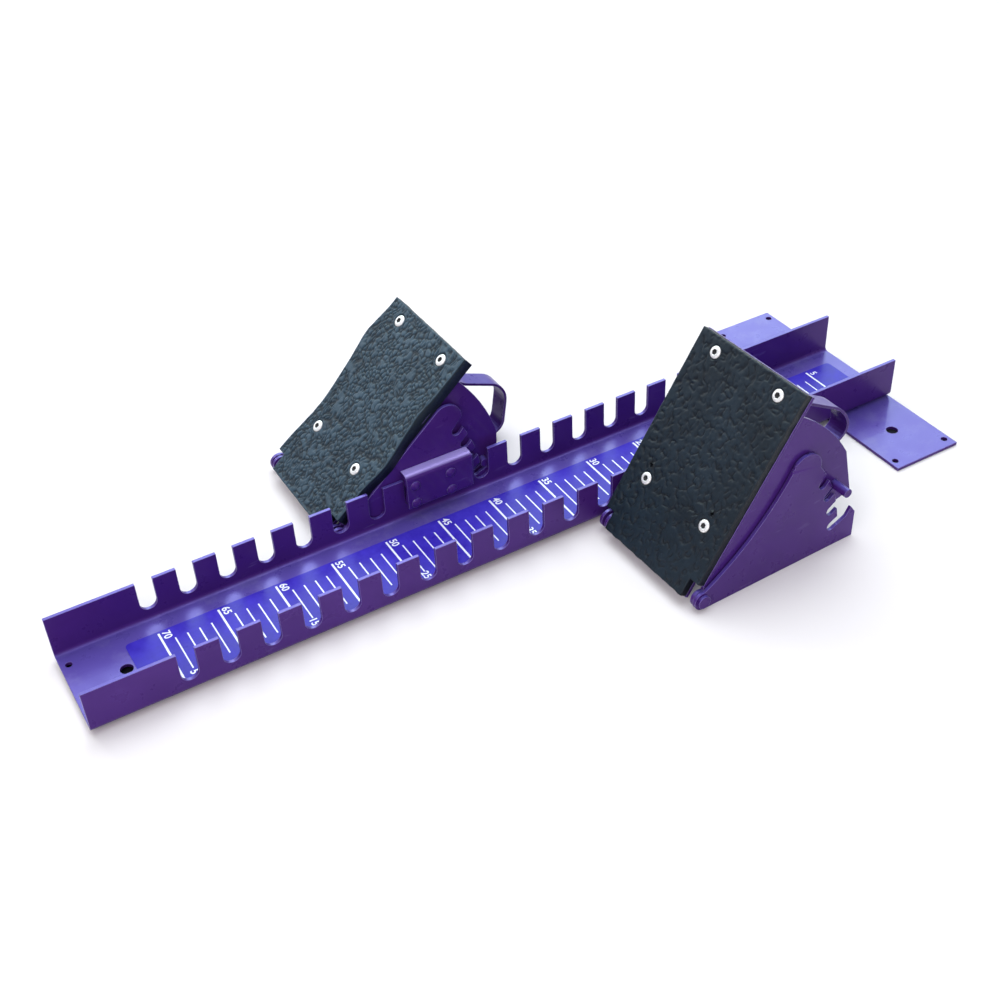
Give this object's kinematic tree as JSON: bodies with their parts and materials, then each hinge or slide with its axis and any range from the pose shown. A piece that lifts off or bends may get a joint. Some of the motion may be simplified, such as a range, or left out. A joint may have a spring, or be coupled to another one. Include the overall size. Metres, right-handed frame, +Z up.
{
  "type": "starting blocks",
  "caption": "Sprint starting blocks: notched steel rail with anchor plate and lift-off foot blocks whose rubber-faced treads tilt and lock in slots.",
  "frame": {"origin": "on the ground under the middle of the rail, at the middle of the whole width", "axes": "+X the way the runner leaves, along the rail; +Y to the runner's left; +Z up"},
  "size_m": [0.8, 0.3907, 0.1703],
  "materials": {
    "rail_paint": "gloss",
    "block_paint": "gloss",
    "strip_print": "satin",
    "pad_rubber": "matte",
    "bright_zinc": "satin"
  },
  "bodies": {
    "rail": {"rail_channel": "rail_paint", "scale_strip": "strip_print", "anchor_plate": "rail_paint"},
    "left_base": {"left_base_bracket": "block_paint", "left_rail_hook": "block_paint", "left_rail_pins": "block_paint", "left_hinge_pin": "block_paint"},
    "left_tread": {"left_tread_plate": "block_paint", "left_rubber_pad": "pad_rubber", "left_pad_screws": "bright_zinc", "left_pad_nuts": "bright_zinc", "left_carry_strap": "block_paint"},
    "left_bar": {"left_lock_bar": "block_paint", "left_bar_clips": "bright_zinc"},
    "right_base": {"right_base_bracket": "block_paint", "right_rail_hook": "block_paint", "right_rail_pins": "block_paint", "right_hinge_pin": "block_paint"},
    "right_tread": {"right_tread_plate": "block_paint", "right_rubber_pad": "pad_rubber", "right_pad_screws": "bright_zinc", "right_pad_nuts": "bright_zinc", "right_carry_strap": "block_paint"},
    "right_bar": {"right_lock_bar": "block_paint", "right_bar_clips": "bright_zinc"}
  },
  "joints": [
    {"name": "left_lift", "type": "slide", "parent": "rail", "child": "left_base", "axis": [0, 0, 1], "range_m": [0, 0.06]},
    {"name": "left_tilt", "type": "hinge", "parent": "left_base", "child": "left_tread", "pos_m": [-0.0684, 0.12186, 0.009], "axis": [-0.0349, 0.9994, 0], "range_deg": [-15, 7.5]},
    {"name": "left_lock", "type": "slide", "parent": "left_tread", "child": "left_bar", "axis": [0.7427, 0.0259, -0.6691], "range_m": [0, 0.012]},
    {"name": "right_lift", "type": "slide", "parent": "rail", "child": "right_base", "axis": [0, 0, 1], "range_m": [0, 0.06]},
    {"name": "right_tilt", "type": "hinge", "parent": "right_base", "child": "right_tread", "pos_m": [0.144, -0.1154, 0.009], "axis": [0, 1, 0], "range_deg": [0, 22.5]},
    {"name": "right_lock", "type": "slide", "parent": "right_tread", "child": "right_bar", "axis": [0.891, 0, -0.454], "range_m": [0, 0.012]}
  ]
}
